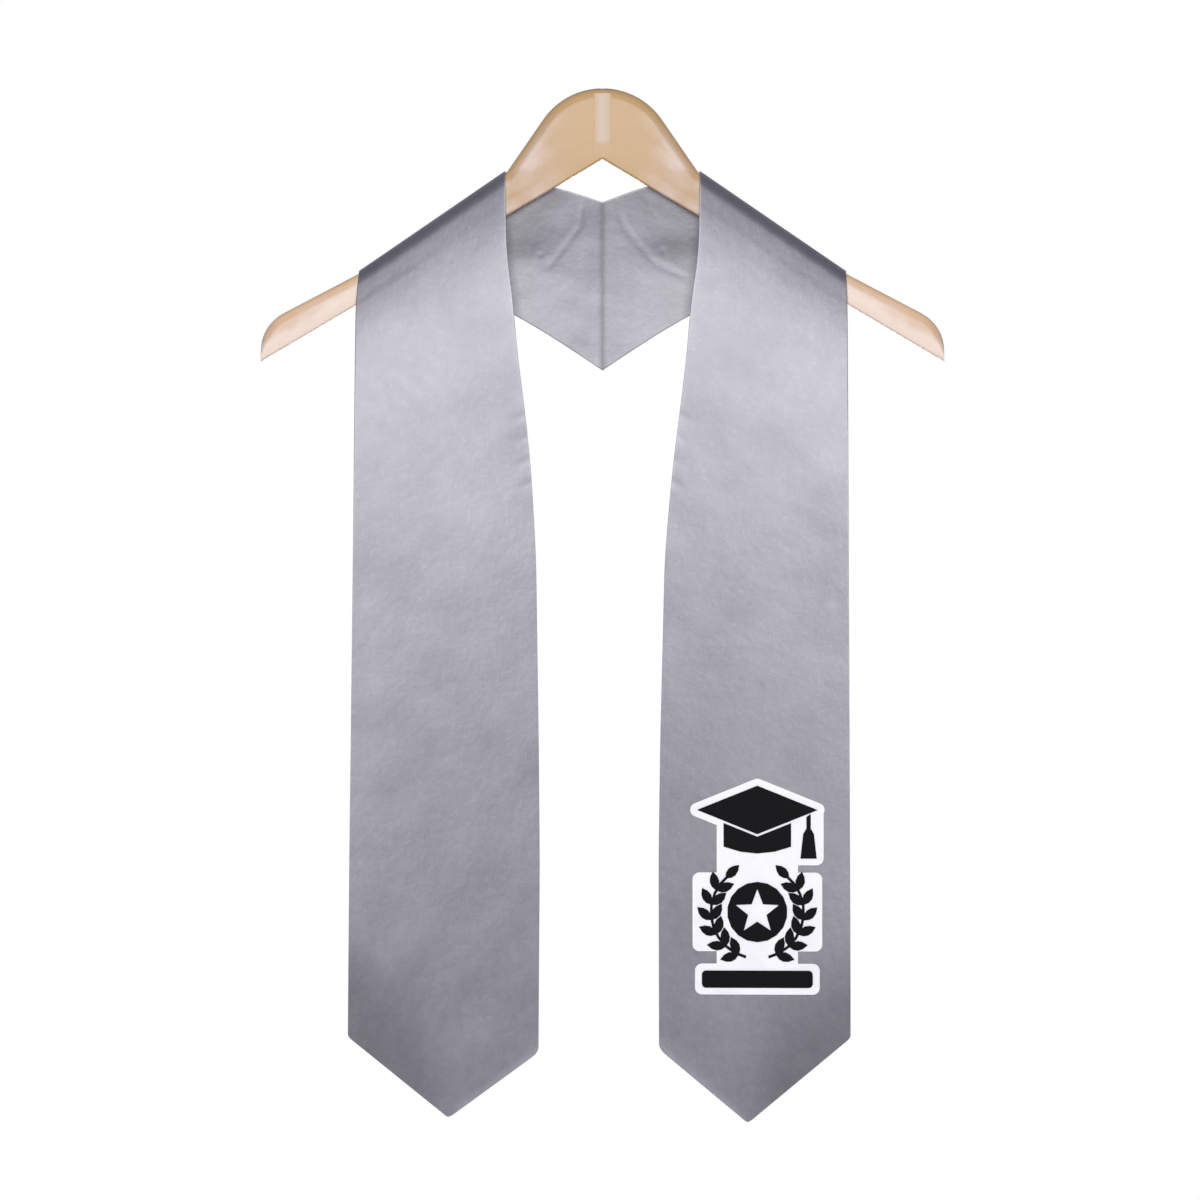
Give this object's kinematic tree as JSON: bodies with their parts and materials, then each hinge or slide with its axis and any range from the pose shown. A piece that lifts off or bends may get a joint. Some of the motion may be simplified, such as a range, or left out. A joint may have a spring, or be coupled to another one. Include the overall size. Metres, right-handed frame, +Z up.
{
  "type": "graduation stole on wooden hanger",
  "caption": "Silver-grey satin graduation stole with pointed ends and a printed emblem, hung over a plain wooden hanger.",
  "frame": {"origin": "top of the hanger's crest, in the middle of its thickness, where the hook screws in", "axes": "+Z up, +X to the viewer's right along the hanger, the front looks along -Y"},
  "size_m": [0.445, 0.0387, 0.6751],
  "materials": {
    "wood": "varnished pale beech",
    "satin": "silver-grey polyester satin",
    "white_vinyl": "white heat-pressed vinyl",
    "black_vinyl": "black heat-pressed vinyl"
  },
  "bodies": {
    "root": {"hanger": "wood", "stole_left_panel": "satin", "stole_right_panel": "satin", "emblem_backing": "white_vinyl", "emblem_cap_board": "black_vinyl", "emblem_cap_crown": "black_vinyl", "emblem_tassel": "black_vinyl", "emblem_laurel_left": "black_vinyl", "emblem_laurel_right": "black_vinyl", "emblem_roundel": "black_vinyl", "emblem_scroll": "black_vinyl"}
  },
  "joints": []
}
